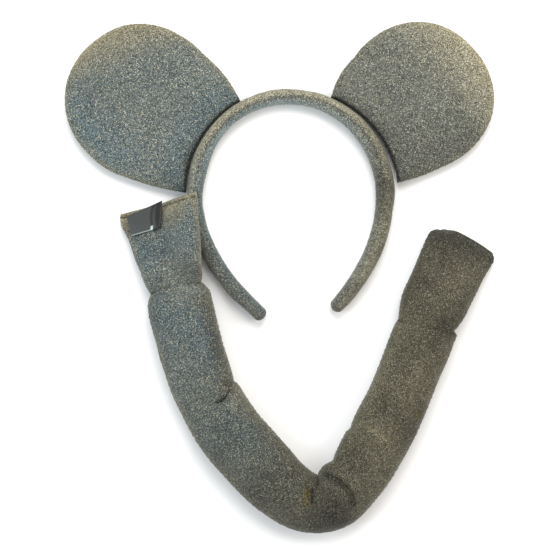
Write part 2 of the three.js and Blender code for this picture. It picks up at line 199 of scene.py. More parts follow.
def plain_material(name, grain, detail, colours, roughness):
    """A material whose colour, and roughness if that is a pair, go between two values by one fine noise.

    It gives back the noise as well, for a bump.
    """
    made = bpy.data.materials.new(name)
    made.use_nodes = True
    tree = made.node_tree
    shader = tree.nodes["Principled BSDF"]
    place = node(tree, "ShaderNodeTexCoord").outputs["Object"]
    noise = node(tree, "ShaderNodeTexNoise", {"Vector": place, "Scale": grain, "Detail": detail}).outputs["Fac"]
    tree.links.new(mix_colour(tree, noise, *colours), shader.inputs["Base Color"])
    if isinstance(roughness, tuple):
        tree.links.new(spread(tree, noise, 0.3, 0.7, *roughness), shader.inputs["Roughness"])
    else:
        shader.inputs["Roughness"].default_value = roughness
    return made, noise


def dress(names, material):
    """Gives a material and a slot to pieces that are carried over as they are."""
    for name in names:
        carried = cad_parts[name]
        carried.data.materials.clear()
        carried.data.materials.append(material)


moulded_plastic = plain_material("moulded_plastic", 320.0, 4.0, strip_colours, (0.38, 0.56))[0]
dress(("crown_strip", "left_leg_strip", "right_leg_strip"), moulded_plastic)


# ---- The band ----
# A foam sleeve goes round the strip, and a sleeve of velour, sewn along its inner side, is pulled over
# the foam. Its colour has painted warm golden light along the outer half and painted lavender-blue light
# inside. It is made in two halves, which meet at the top.
crown_centre = np.array([7.3, 63.0])
crown_radius = 70
band_crown_top = (7.3, 133.0)
# The length of each of its five stretches from the left tip, and the heading at their ends in degrees.
band_lengths = (28.5, 75.96, 229.68, 82.01, 10.5)
band_headings = (134.3, 134.3, 94.0, -94.0, -131.0, -131.0)
band_thickness = 11.5
band_height = 16.0
band_tip = 5.0
# How far the band's outer and inner sides stand from its middle line, at distances from its left tip:
# the foam is squeezed thin over the crown and bunches up where the right leg starts.
band_sides = np.array([
    (0, 4.7, 6.0), (16, 5.2, 5.3), (28, 6.2, 5.6), (40, 5.6, 5.9), (52, 6.0, 6.0), (76, 5.8, 5.5),
    (100, 5.7, 5.0), (112, 5.6, 6.0), (124, 5.6, 6.8), (136, 5.6, 6.7), (148, 5.6, 5.5), (172, 5.7, 4.5),
    (196, 6.3, 4.5), (208, 6.2, 4.9), (220, 6.0, 5.0), (232, 5.7, 5.4), (256, 5.7, 5.9), (280, 6.2, 6.9),
    (304, 6.6, 7.1), (316, 6.9, 7.0), (328, 7.5, 6.6), (340, 7.0, 6.0), (352, 7.3, 5.6), (364, 7.0, 5.7),
    (376, 6.9, 5.9), (388, 6.2, 6.0), (400, 5.7, 6.1), (412, 5.6, 5.8), (427, 4.7, 5.1),
])


def band_line(distance):
    """Place and heading at distances along the band's middle line, from its left tip to its right tip.

    The heading turns evenly along each bend and stays as it is along each straight end. A place is the
    running sum of short steps along the headings, moved so that the top of the crown is where it belongs.
    """
    knots = np.concatenate([[0], np.cumsum(band_lengths)])
    fine = np.linspace(0, knots[-1], 2500)
    heading = np.radians(np.interp(fine, knots, band_headings))
    way = np.stack([np.cos(heading), np.sin(heading)], axis=1)
    steps = (way[1:] + way[:-1]) / 2 * np.diff(fine)[:, None]
    place = np.concatenate([[[0, 0]], np.cumsum(steps, axis=0)])
    top = (knots[2] + knots[3]) / 2
    place += np.array(band_crown_top) - [np.interp(top, fine, place[:, k]) for k in (0, 1)]
    at = np.stack([np.interp(distance, fine, place[:, k]) for k in (0, 1)], axis=-1)
    return at, np.interp(distance, fine, heading)


def section(count, squareness):
    """The points round a rounded section: across and rise from -1 to 1, squarer than an ellipse above 2.

    Each is the cosine or sine of an even angle, with its size raised to 2 over the squareness.
    """
    angle = 2 * math.pi * (np.arange(count) + 0.5) / count
    across, rise = np.cos(angle), np.sin(angle)
    power = 2 / squareness
    return np.sign(across) * abs(across) ** power, np.sign(rise) * abs(rise) ** power


def lumps(x, y, length, seed, waves=14):
    """Soft random lumps between about -1 and 1: a sum of sine waves in random directions.

    Each wave's length is between 0.7 and 1.5 times the given one, and the seed sets them all.
    """
    chance = np.random.default_rng(seed)
    turn = chance.uniform(0, 2 * math.pi, waves)
    rate = 2 * math.pi / (length * chance.uniform(0.7, 1.5, waves))
    phase = chance.uniform(0, 2 * math.pi, waves)
    total = np.zeros(np.broadcast(x, y).shape)
    for one, two, three in zip(turn, rate, phase):
        total += np.sin(two * (x * math.cos(one) + y * math.sin(one)) + three)
    return total / math.sqrt(waves / 2) / 1.6


def ease(value, low, high):
    """A smooth step from 0 at low to 1 at high."""
    share = np.clip((value - low) / (high - low), 0, 1)
    return share * share * (3 - 2 * share)


def between(value, low, high, high_end, low_end):
    """A smooth step from 0 to 1 between low and high, and back to 0 between high_end and low_end."""
    return ease(value, low, high) * (1 - ease(value, high_end, low_end))


def bell(value, width):
    """A bell: 1 where the value is 0, falling by the exponential of minus the square of value over width."""
    return np.exp(-(value / width) ** 2)


def closed_piece(name, rings, material, flat_ends=(), **marks):
    """A closed piece skinned over rings of points in millimetres, with a point closing each end.

    Point j of ring i joins points j and j + 1 of the next ring in a face of four corners, and each end
    is a fan to the mean of its ring. The faces are turned outwards by the sign of the volume that they
    hold. Each mark is one value per ring point, which the material reads by its name. A flat end is a
    cut that another piece closes, so its rim is kept sharp.
    """
    count, around = rings.shape[:2]
    points = np.concatenate([rings.reshape(-1, 3), rings[[0, -1]].mean(axis=1)]) * MM
    here = np.arange(around)
    beside = (here + 1) % around
    row = np.arange(count - 1)[:, None] * around
    quads = np.stack([row + here, row + beside, row + around + beside, row + around + here], axis=-1)
    quads = quads.reshape(-1, 4)
    last = (count - 1) * around
    ends = np.concatenate([
        np.stack([beside, here, np.full(around, count * around)], axis=1),
        np.stack([last + here, last + beside, np.full(around, count * around + 1)], axis=1),
    ])
    triangles = np.concatenate([quads[:, :3], quads[:, [0, 2, 3]], ends])
    a, b, c = (points[triangles[:, k]] for k in range(3))
    if (a * np.cross(b, c)).sum() < 0:
        quads, ends = quads[:, ::-1], ends[:, ::-1]
    mesh = bpy.data.meshes.new(name)
    mesh.from_pydata(points, [], quads.tolist() + ends.tolist())
    mesh.polygons.foreach_set("use_smooth", np.ones(len(mesh.polygons), bool))
    for mark, values in marks.items():
        whole = np.concatenate([values.reshape(-1), values[[0, -1]].mean(axis=1)])
        made = mesh.attributes.new(mark, "FLOAT", "POINT")
        made.data.foreach_set("value", whole.astype(np.float32))
    if flat_ends:
        pairs = np.zeros(len(mesh.edges) * 2, np.int32)
        mesh.edges.foreach_get("vertices", pairs)
        ring_of = pairs.reshape(-1, 2) // around
        wanted = [{0: 0, -1: count - 1}[end] for end in flat_ends]
        sharp = (ring_of[:, 0] == ring_of[:, 1]) & np.isin(ring_of[:, 0], wanted)
        mesh.attributes.new("sharp_edge", "BOOLEAN", "EDGE").data.foreach_set("value", sharp)
    mesh.materials.append(material)
    mesh.update()
    made = bpy.data.objects.new(name, mesh)
    bpy.context.scene.collection.objects.link(made)
    return made


def band_rings(distance, length):
    """The band's rings at distances from its left tip, with its marks.

    A rounded section is carried along the middle line. Near a tip it shrinks as a circle's edge does.
    A soft ridge runs along the top where the strip's edge presses from inside, and small lumps show
    where the foam is uneven.
    """
    place, heading = band_line(distance)
    across, rise = section(56, 2.35)
    to_tip = np.minimum(distance, length - distance)
    into = np.clip(1 - to_tip / band_tip, 0, 1)
    full = np.sqrt(np.maximum(1 - into ** 2.4, 0.0004))[:, None]
    along = distance[:, None]
    uneven = 1 + 0.020 * lumps(along, across * 9, 26, 3) + 0.016 * lumps(along, across * 9, 7, 5)
    uneven = uneven + 0.014 * lumps(along, rise * 7 + across * 4, 2.6, 6)
    ridge = 0.35 * bell(across, 1 / 3.2) * (rise > 0)
    outer, inner = (np.interp(distance, band_sides[:, 0], band_sides[:, k])[:, None] for k in (1, 2))
    side = across * np.where(across > 0, outer, inner) * full * uneven
    up = band_height / 2 + (rise * band_height / 2 * uneven + ridge - 0.35) * full
    left = np.stack([-np.sin(heading), np.cos(heading)], axis=1)
    x, y = (place[:, k, None] + left[:, k, None] * side for k in (0, 1))
    rings = np.stack([x, y, np.maximum(up, 0.0)], axis=2)
    outward = across + 0 * side
    # painted light and shade: warm golden light outside, cool blue light inside, more light over the crown,
    # painted shade along the fold line and beside the ears' bases, and darker blotches down the right leg
    crown = ease(y, 55, 120)
    on_left = 1 - ease(x, -20, 40)
    blotch = lumps(along, across * 6, 30, 8)
    outer_part = ease(outward, -0.25, 0.35)
    inner_part = ease(-outward, 0.15, 0.75)
    gold = outer_part * (0.16 + 0.18 * crown) + 0.08 + 0.22 * ease(x, 20, 80) * (1 - crown)
    blue = inner_part * (0.35 + 0.6 * crown) * (0.45 + 0.55 * on_left) + 0.45 * on_left * (1 - crown)
    light = 0.63 * crown * outer_part * (0.75 + 0.25 * on_left) + 1.15 * crown * inner_part
    light += 0.16 * on_left * (1 - crown) * ease(y, 20, 70)
    # painted shade along the fold line down the middle of the top, over the crown
    fold_line_shade = bell(outward - 0.02, 0.10) * (rise > 0)
    # darker in random blotches down the right leg, with painted shade on the crown's right side and low on the
    # left leg, and painted light low on the right leg
    blotches_and_shade = np.clip(blotch, 0, 1) * (0.10 + 0.34 * ease(x, 20, 70) * (1 - crown))
    blotches_and_shade = blotches_and_shade + 0.42 * ease(x, 45, 75) * ease(y, 30, 60) * (1 - 0.5 * crown)
    blotches_and_shade = blotches_and_shade - 0.22 * ease(x, 45, 75) * (1 - ease(y, -20, 15))
    blotches_and_shade = blotches_and_shade + 0.10 * (1 - ease(y, 0, 60)) * on_left
    tip_dark = 0.35 * np.exp(-to_tip / 4.0)[:, None]
    # painted shade on the band's outer wall where it runs beside the ears' bases
    angle = np.degrees(np.arctan2(y - crown_centre[1], x - crown_centre[0])) % 360
    by_ear = between(angle, 3, 7, 66, 69) + between(angle, 117, 120, 179, 183)
    shade_by_ear_base = 0.9 * by_ear * ease(outward, 0.80, 0.97)
    shade = 0.10 + blotches_and_shade + tip_dark + 0.20 * fold_line_shade * crown + shade_by_ear_base - light * (1 - shade_by_ear_base)
    return rings, dict(gold=gold, blue=np.clip(blue, 0, 1), shade=np.clip(shade, -1, 1))


band_length = sum(band_lengths)
band_top = sum(band_lengths[:2]) + band_lengths[2] / 2
band_velour = velour_material("band_velour")
tip_rounds = band_tip * (1 - np.cos(np.linspace(0, math.pi / 2, 9)[:-1]))
tip_rounds[0] = 0.02


def band_half(name, distance, outer_body, nodes, flat_end):
    """One half of the band's cover, between the crown's middle and a leg's tip; the parts that it stands for
    are hidden.
    """
    rings, marks = band_rings(distance, band_length)
    half = closed_piece(name, rings, band_velour, flat_ends=(flat_end,), **marks)
    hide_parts(*nodes)
    if outer_body == "left_leg":
        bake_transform(half)
    else:
        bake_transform(half)


left_half_at = np.concatenate([tip_rounds, np.arange(band_tip, band_top - 0.6, 1.25), [band_top]])
right_half_at = np.concatenate([[band_top], np.arange(band_top + 0.6, band_length - band_tip, 1.25),
                                band_length - tip_rounds[::-1]])
band_half("band_left_half", left_half_at, "left_leg",
          ("left_leg_cover", "left_leg_foam", "crown_cover", "crown_foam"), -1)
band_half("band_right_half", right_half_at, "right_leg",
          ("right_leg_cover", "right_leg_foam"), 0)


# ---- The ears ----
# Each ear is two round panels of velour sewn together round the rim, turned right side out and filled
# with flat wadding on both sides of a stiffener. Its base is pressed in and sewn to the band.
ear_base_radius = 76.3  # from the middle of the band's crown to the ear's base
ear_thickness = 10.0
ear_round = 23.0
ear_middle_height = 8.0
# Each ear's circle, its base on the band, how far its two sides bow out, how far the base stands off at its
# two ends, and how far its rim is out of round, in millimetres, at angles in degrees round its own centre.
ears = {
    "left": dict(centre=148.5, reach=127.6, radius=56.6, base=(118.5, 180.5), bows=(2.6, 1.4), seed=21,
                 stand_off=(0.0, 0.0), uneven=((30, 0.8), (60, -0.4), (90, 0.9), (105, 1.3), (125, 0.3),
                                               (165, 1.1), (195, 0.1), (225, -1.2), (245, -0.2), (265, 0.6))),
    "right": dict(centre=36.3, reach=117.8, radius=54.9, base=(5.0, 66.5), bows=(1.2, 2.6), seed=34,
                  stand_off=(3.2, -0.4), uneven=((0, 0.9), (20, 0.0), (45, -0.7), (75, 0.7), (95, 1.0),
                                                 (130, 0.6), (150, 1.2), (280, -0.4), (300, -1.2), (320, -0.6),
                                                 (345, 0.8))),
}


def arc(centre, radius, start, end, count):
    """Points round part of a circle, from one angle to another, in radians."""
    angle = np.linspace(start, end, count)
    return centre + radius * np.stack([np.cos(angle), np.sin(angle)], axis=1)


def ear_outline(ear, count):
    """An ear's edge as evenly spaced points: the base along the band, a side, the circle, a side.

    The sides touch the circle, and each bows out a little, by a half wave of a sine. The base's radius
    changes evenly from one end to the other, and the circle's radius has its small differences added.
    """
    centre = arc(crown_centre, ear["reach"], *[math.radians(ear["centre"])] * 2, 1)[0]
    first, last = np.radians(ear["base"])
    base_angle = np.linspace(last, first, 60)
    base_radius = ear_base_radius + np.interp(base_angle, (first, last), ear["stand_off"])
    base = crown_centre + base_radius[:, None] * np.stack([np.cos(base_angle), np.sin(base_angle)], axis=1)

    def touch(corner, turn):
        away = corner - centre
        size = math.hypot(*away)
        return math.atan2(away[1], away[0]) + turn * math.acos(ear["radius"] / size)

    start, end = touch(base[-1], 1), touch(base[0], -1)
    end += 2 * math.pi * math.ceil((start - end) / (2 * math.pi))
    angle = np.linspace(start, end, 400)
    known, extra = np.array(ear["uneven"]).T
    radius = ear["radius"] + np.interp(np.degrees(angle) % 360, known, extra, period=360)
    rim = centre + radius[:, None] * np.stack([np.cos(angle), np.sin(angle)], axis=1)

    def side(one, other, bow):
        share = np.linspace(0, 1, 40)[1:-1, None]
        run = (other - one) / math.hypot(*(other - one))
        out = np.array([run[1], -run[0]])
        return one + (other - one) * share + out * bow * np.sin(math.pi * share)

    sides = side(base[-1], rim[0], ear["bows"][0]), side(rim[-1], base[0], ear["bows"][1])
    edge = np.concatenate([base, sides[0], rim, sides[1]])
    closed = np.concatenate([edge, edge[:1]])
    run = np.concatenate([[0], np.cumsum(np.hypot(*np.diff(closed, axis=0).T))])
    at = np.linspace(0, run[-1], count + 1)[:-1]
    return np.stack([np.interp(at, run, closed[:, k]) for k in (0, 1)], axis=1), centre, at


def ear_rings(ear, count=380):
    """An ear's rings, from the middle of its front over the rim to the middle of its back.

    A ring lies a distance in from the edge, towards the middle. The half thickness follows a rounded
    quarter from nothing at the seam to full at the padding's reach, and stays full inside it. Puckers
    along the seam die away inwards, and the panels have soft lumps.
    """
    edge, centre, run = ear_outline(ear, count)
    fuzz = 0.16 * lumps(run, 0, 2.4, ear["seed"] + 3)
    turn = np.linspace(0, math.pi / 2, 26)
    power = 2 / 2.6
    near = ear_round * (1 - np.cos(turn) ** power)
    rise = np.sin(turn) ** power
    inner = np.linspace(0, 1, 22)[1:-1]
    away = np.hypot(*(centre - edge).T)
    inward = (centre - edge) / away[:, None]
    from_edge = np.concatenate([near[:, None] + 0 * away, near[-1] + inner[:, None] * (away - near[-1])])
    fullness = np.concatenate([rise, np.ones(len(inner))])[:, None]
    plan = edge + inward * (from_edge + fuzz * np.exp(-from_edge / 3.0))[:, :, None]
    x, y = plan[:, :, 0], plan[:, :, 1]
    pucker = lumps(run, 0, 5.5, ear["seed"])
    in_from_seam = np.exp(-from_edge / 4.5) * ease(from_edge, 0, 1.5)
    swell = ear_thickness / 2 * fullness + 0.30 * pucker * in_from_seam
    soft = 0.28 * lumps(x, y, 31, ear["seed"] + 1) + 0.10 * lumps(x, y, 12, ear["seed"] + 2)
    swell = swell + soft * fullness
    height = ear_middle_height + swell
    front = np.stack([x, y, height], axis=2)
    back = np.stack([x, y, 2 * ear_middle_height - height], axis=2)
    rings = np.concatenate([front[::-1], back[1:]])
    return rings, np.concatenate([from_edge[::-1], from_edge[1:]]), centre


def left_ear_marks(rings, from_edge, centre):
    """Painted light and shade on the left ear: warm golden light round its top and a painted highlight along
    its rim, cool blue light low on the left and by the base, and painted shade in the crease along the base and
    on the low side.
    """
    x, y = rings[:, :, 0], rings[:, :, 1]
    out = np.stack([x - centre[0], y - centre[1]], axis=2) / ears["left"]["radius"]
    from_base = np.hypot(x - crown_centre[0], y - crown_centre[1]) - ear_base_radius
    top = ease(out[:, :, 0] * -0.35 + out[:, :, 1] * 0.94, 0.35, 1.0)
    rim = np.exp(-from_edge / 2.6) * ease(from_base, 4, 12)
    gold = 0.10 + 0.42 * top + 0.55 * rim
    blue = 0.55 + 0.45 * ease(-out[:, :, 0] * 0.8 - out[:, :, 1] * 0.6, 0.2, 0.9) - 0.45 * top
    blue += 0.40 * bell(from_base - 9, 11)
    # painted shade in the crease where the ear meets the band, and on its low side
    clear = np.clip(from_base, 0, None)
    shade = bell(clear, 1.5) + 0.26 * np.exp(-clear / 5)
    low_side = ease(-out[:, :, 1], 0.45, 0.8) * ease(out[:, :, 0], 0.1, 0.7) * np.exp(-from_edge / 7)
    shade += 0.5 * low_side + 0.16 * ease(-out[:, :, 1], 0.35, 0.8) * ease(out[:, :, 0], 0.3, 0.7)
    return dict(gold=gold, blue=blue, shade=shade)


def right_ear_marks(rings, from_edge, centre):
    """Painted light and shade on the right ear: warm golden light down its right side and over its top, a
    painted highlight along its rim, greyer and in painted shade by the base and on the lower left.
    """
    x, y = rings[:, :, 0], rings[:, :, 1]
    out = np.stack([x - centre[0], y - centre[1]], axis=2) / ears["right"]["radius"]
    from_base = np.hypot(x - crown_centre[0], y - crown_centre[1]) - ear_base_radius
    lit = ease(out[:, :, 0] * 0.75 + out[:, :, 1] * 0.66, 0.1, 1.0)
    rim = np.exp(-from_edge / 2.6) * ease(from_base, 4, 12)
    gold = 0.16 + 0.34 * lit + 0.35 * rim
    blue = 0.22 * (1 - lit)
    angle = np.degrees(np.arctan2(y - crown_centre[1], x - crown_centre[0]))
    stand_off = np.interp(angle, ears["right"]["base"], ears["right"]["stand_off"])
    # painted shade in the crease by the base and on the lower left, and painted light where the ear is lit
    clear = np.clip(from_base - stand_off, 0, None)
    shade = bell(clear, 1.6) + 0.24 * np.exp(-clear / 6) + 0.14
    shade += 0.20 * ease(-out[:, :, 1], 0.1, 0.8) * (1 - lit) - 0.56 * lit
    return dict(gold=gold, blue=blue, shade=shade)


def stuffed(rings, held, cap, strides, pressure=4.0):
    """How far stuffing moves each ring point, in millimetres, found by a short cloth simulation.

    A coarser cover, made of every few rings and points, is blown up from inside for 20 frames with its
    seams held, where held is 1. Each move is cut to the cap, and the moves between coarse points are
    read off in straight lines, along the rings and round them. The coarse cover is then thrown away.
    """
    count, around = rings.shape[:2]
    kept = [np.unique(np.append(np.arange(0, size, step), last))
            for size, step, last in ((count, strides[0], count - 1), (around, strides[1], 0))]
    pick = np.ix_(*kept)
    cover = closed_piece("coarse_cover", rings[pick], None)
    seams = cover.vertex_groups.new(name="seams")
    weights = np.append(held[pick].reshape(-1), (1.0, 1.0))
    for level in (0.25, 0.5, 0.75, 1.0):
        of_level = (weights > level - 0.125) & (weights <= level + 0.125)
        seams.add(np.flatnonzero(of_level).tolist(), level, "REPLACE")
    cloth = cover.modifiers.new("stuffing", "CLOTH")
    cloth.settings.quality = 5
    cloth.settings.mass = 0.15
    cloth.settings.tension_stiffness = cloth.settings.compression_stiffness = 12
    cloth.settings.shear_stiffness = 6
    cloth.settings.bending_stiffness = 0.3
    cloth.settings.use_pressure = True
    cloth.settings.uniform_pressure_force = pressure
    cloth.settings.effector_weights.gravity = 0
    cloth.settings.vertex_group_mass = "seams"
    cloth.collision_settings.use_collision = False
    cloth.point_cache.frame_start, cloth.point_cache.frame_end = 1, 20
    before = np.empty(len(cover.data.vertices) * 3)
    after = np.empty_like(before)
    cover.data.vertices.foreach_get("co", before)
    for at_frame in range(1, 21):
        bpy.context.scene.frame_set(at_frame)
    puffed = cover.evaluated_get(bpy.context.evaluated_depsgraph_get())
    puffed.to_mesh().vertices.foreach_get("co", after)
    puffed.to_mesh_clear()
    bpy.context.scene.frame_set(1)
    used = cover.data
    bpy.data.objects.remove(cover)
    bpy.data.meshes.remove(used)
    moves = ((after - before) / MM).reshape(-1, 3)[:-2]
    size = np.hypot(np.hypot(moves[:, 0], moves[:, 1]), moves[:, 2])[:, None]
    moves = moves * np.minimum(1, cap / np.maximum(size, 1e-9))
    moves = moves.reshape(len(kept[0]), len(kept[1]), 3)

    def read_off(values, known, wanted):
        low = np.clip(np.searchsorted(known, wanted, side="right") - 1, 0, len(known) - 2)
        share = (wanted - known[low]) / (known[low + 1] - known[low])
        return values[low] + (values[low + 1] - values[low]) * share.reshape(-1, *[1] * (values.ndim - 1))

    moves = read_off(moves, kept[0], np.arange(count))
    round_again = np.concatenate([moves, moves[:, :1]], axis=1).swapaxes(0, 1)
    return read_off(round_again, np.append(kept[1], around), np.arange(around)).swapaxes(0, 1)


ear_velour = velour_material("ear_velour")
for side, marks_of in (("left", left_ear_marks), ("right", right_ear_marks)):
    rings, from_edge, centre = ear_rings(ears[side])
    marks = {mark: np.clip(value, -1, 1) for mark, value in marks_of(rings, from_edge, centre).items()}
    rings = rings + stuffed(rings, 1 - ease(from_edge, 0.2, 2.5), cap=2.2, strides=(2, 4))
    pad = closed_piece(f"{side}_ear_pad", rings, ear_velour, **marks)
    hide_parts(f"{side}_ear_front_panel", f"{side}_ear_back_panel",
                f"{side}_ear_front_wadding", f"{side}_ear_back_wadding")
    middle = math.radians(sum(ears[side]["base"]) / 2)
    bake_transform(pad)

felt_colours = (0.62, 0.61, 0.56), (0.80, 0.79, 0.75)
stiff_felt = plain_material("stiff_felt", 900.0, 5.0, felt_colours, 0.95)[0]
dress(("left_ear_stiffener", "right_ear_stiffener"), stiff_felt)


# ---- The tail ----
# A long tube of velour, sewn along its side, turned and stuffed with polyester filling. Its top end is
# open, with a hem turned in, and lies over the band's left leg. It creases where it bends.
#
# Places along its middle line from the top end, each with the tail's width and height there.
tail_places = np.array([
    (-89.0, 54.0, 59.0, 10.0),
    (-82.5, 24.0, 51.0, 20.0),
    (-77.0, -7.5, 42.5, 26.0),
    (-68.0, -42.5, 47.5, 30.0),
    (-54.0, -87.0, 46.0, 28.0),
    (-24.0, -125.5, 49.5, 30.0),
    (1.5, -153.5, 46.5, 29.0),
    (30.0, -165.5, 45.7, 27.0),
    (54.5, -149.5, 45.5, 29.0),
    (78.5, -105.5, 46.0, 30.0),
    (107.0, -35.0, 45.0, 27.5),
    (120.0, -5.0, 49.0, 26.0),
    (137.5, 27.0, 47.8, 8.0),
])
tail_step = 0.95
tail_square = 2.3
leg_bend_radius = 108.0
leg_bend_from = math.radians(184)
over_leg = 17.0
over_leg_gap = 1.0
drape_width = 24.0


def through(knots, spans, gaps):
    """A smooth run through knots, at a number of spans from the first.

    Between two knots it is the cubic whose end slopes come from the neighbours, weighted by the gaps
    between them, so that it neither overshoots nor loops.
    """
    ends = np.concatenate([[2 * knots[0] - knots[1]], knots, [2 * knots[-1] - knots[-2]]])
    gap = np.concatenate([gaps[:1], gaps, gaps[-1:]])[:, None]
    i = np.clip(spans.astype(int), 0, len(knots) - 2)
    share = (spans - i)[:, None]
    a, b, c, d = (ends[i + k] for k in range(4))
    before, here, after = (gap[i + k] for k in range(3))
    leave = ((b - a) / before - (c - a) / (before + here) + (c - b) / here) * here
    arrive = ((c - b) / here - (d - b) / (here + after) + (d - c) / after) * here
    two, three = share ** 2, share ** 3
    return ((2 * three - 3 * two + 1) * b + (three - 2 * two + share) * leave
            + (3 * two - 2 * three) * c + (three - two) * arrive)


tail_gaps = np.hypot(*np.diff(tail_places[:, :2], axis=0).T) ** 0.5
fine_spans = np.linspace(0, len(tail_places) - 1, 6000)
fine_line = through(tail_places[:, :2], fine_spans, tail_gaps)
fine_run = np.concatenate([[0], np.cumsum(np.hypot(*np.diff(fine_line, axis=0).T))])
tail_length = fine_run[-1]
tail_run = np.linspace(0, tail_length, int(tail_length / tail_step))
tail_spans = np.interp(tail_run, fine_run, fine_spans)
tail_line = through(tail_places[:, :2], tail_spans, tail_gaps)
tail_sizes = through(tail_places[:, 2:], tail_spans, np.ones(len(tail_gaps)))
tail_heading = np.gradient(tail_line, axis=0)
tail_heading /= np.hypot(*tail_heading.T)[:, None]
tail_inward = np.stack([-tail_heading[:, 1], tail_heading[:, 0]], axis=1)


def run_at(spans):
    """The distance along the tail's middle line at a number of spans from its top end."""
    return np.interp(spans, fine_spans, fine_run)


def outside_band(x, y):
    """How far outside the band's left side a place is, round the crown's circle or the leg's. Nothing
    lies over the right side, so it isn't counted."""
    out = np.array([math.cos(leg_bend_from), math.sin(leg_bend_from)])
    flex = crown_centre + crown_radius * out
    leg_centre = flex - leg_bend_radius * out
    by_crown = np.hypot(x - crown_centre[0], y - crown_centre[1]) - crown_radius
    by_leg = np.hypot(x - leg_centre[0], y - leg_centre[1]) - leg_bend_radius
    apart = np.where(y > flex[1], by_crown, by_leg) - band_thickness / 2
    return np.where(x > crown_centre[0], 1e6, apart)


def lift_over_leg(x, y):
    """How far the leg underneath lifts the tail: all of it over the band, easing to none beside it."""
    return over_leg * (1 - ease(outside_band(x, y), over_leg_gap, over_leg_gap + drape_width))


# How far the inside and the outside of the bend stand from the middle line, at every quarter of a span.
tail_inside = (
    29.6, 28.4, 27.3, 26.3, 25.5, 24.6, 23.6, 22.5, 21.0, 24.2, 24.4, 24.3, 24.0, 23.9, 24.6, 24.6, 23.9,
    24.7, 23.8, 22.8, 23.1, 23.6, 24.1, 23.9, 23.0, 22.1, 21.6, 22.6, 23.5, 23.8, 24.2, 25.0, 22.9, 24.2,
    24.8, 23.6, 23.3, 21.7, 21.5, 21.6, 21.9, 24.1, 25.1, 24.7, 24.7, 25.4, 26.3, 26.8, 26.0,
)
tail_outside = (
    30.4, 31.4, 29.1, 27.3, 26.5, 25.4, 23.0, 21.9, 20.0, 22.7, 23.5, 23.2, 23.1, 23.5, 22.5, 22.3, 22.0,
    23.2, 25.1, 26.1, 25.9, 25.4, 24.5, 23.8, 23.4, 23.4, 23.1, 22.7, 21.5, 21.9, 21.9, 20.9, 19.9, 20.3,
    21.2, 22.3, 22.9, 22.8, 22.9, 23.9, 23.6, 23.0, 23.9, 24.0, 24.3, 24.5, 24.3, 25.0, 25.8,
)

# A pinch is a place where the cloth is drawn in at one edge: spans from the top end, millimetres past
# them, side (1 is the inside of the bend), depth, and how far it reaches before and after.
pinches = (
    (2, -0.6, 1, 2.2, 2.6, 3.0),
    (2, 0.6, -1, 2.4, 3.0, 2.6),
    (2, 7.0, 1, -0.8, 6.0, 9.0),
    (4, -2.1, 1, 1.5, 2.5, 3.5),
    (4, 4.0, 1, -0.7, 3.0, 6.0),
    (7, 0.0, 1, 5.4, 8.2, 8.0),
    (7, 31.0, 1, 1.0, 4.0, 5.0),
    (9, -15.0, 1, 1.5, 3.5, 2.5),
    (9, -19.5, 1, -0.7, 3.0, 2.0),
    (10, -3.7, 1, 1.6, 3.0, 4.0),
    (10, 4.6, -1, 3.2, 1.4, 4.0),
    (10, 1.8, -1, -1.0, 4.0, 1.2),
)

# How much painted cool blue light and warm golden light the tail has, at spans from the top end, and how much
# painted shade at each span.
tail_blue = ((0, 0.85), (3, 0.75), (5, 0.60), (6.3, 0.20), (7.2, 0.0))
tail_gold = ((0, 0.10), (3, 0.10), (5, 0.20), (7, 0.46), (9, 0.70), (12, 0.60))
tail_shade = (0.03, 0.05, 0.17, 0.08, 0.22, 0.40, 0.70, 0.80, 0.72, 0.70, 0.74, 0.80, 0.90)

# Where the whole tail is flatter: spans from the top end, share of the height, and reach along the run.
tail_dips = ((2.0, 0.16, 7), (4.1, 0.10, 8), (6.85, 0.13, 6), (10.0, 0.10, 8))


def edge_in(side, run):
    """How far one edge of the tail is drawn in along its run: the sum of its pinches, each a notch."""
    total = np.zeros(len(run))
    for spans, past, at_side, depth, before, after in pinches:
        apart = run - run_at(spans) - past
        if at_side == side:
            total += depth * np.exp(-abs(apart) / np.where(apart < 0, before, after))
    return total


def fold(rings, top, distance, way, rise, over, dip, width, mask):
    """Laps the cloth on one side of a line over the other side.

    On the near side, where the distance is negative, the top swells by the rise and pushes forward by
    the overlap, fading out over the width. On the far side it dips at once and comes back slowly.
    """
    near = np.where(distance < 0, bell(distance, width), 0)
    far = np.where(distance >= 0, np.exp(-distance / (width * 0.55)), 0)
    strength = mask * top
    rings[:, :, 2] += strength * (rise * near - dip * far)
    rings[..., :2] += (strength * over * near)[..., None] * way
    return strength * np.where(abs(distance) < 0.8, 1, np.exp(-(abs(distance) - 0.8) / 1.0))


def near_line(rings, start, end, width):
    """1 on the straight line between two places, falling off to the sides as a bell of the given width."""
    start, end = np.array(start), np.array(end)
    run = end - start
    share = np.clip(((rings[..., :2] - start) @ run) / (run @ run), 0, 1)
    apart = rings[..., :2] - start - share[..., None] * run
    return np.exp(-(apart ** 2).sum(axis=-1) / width ** 2)


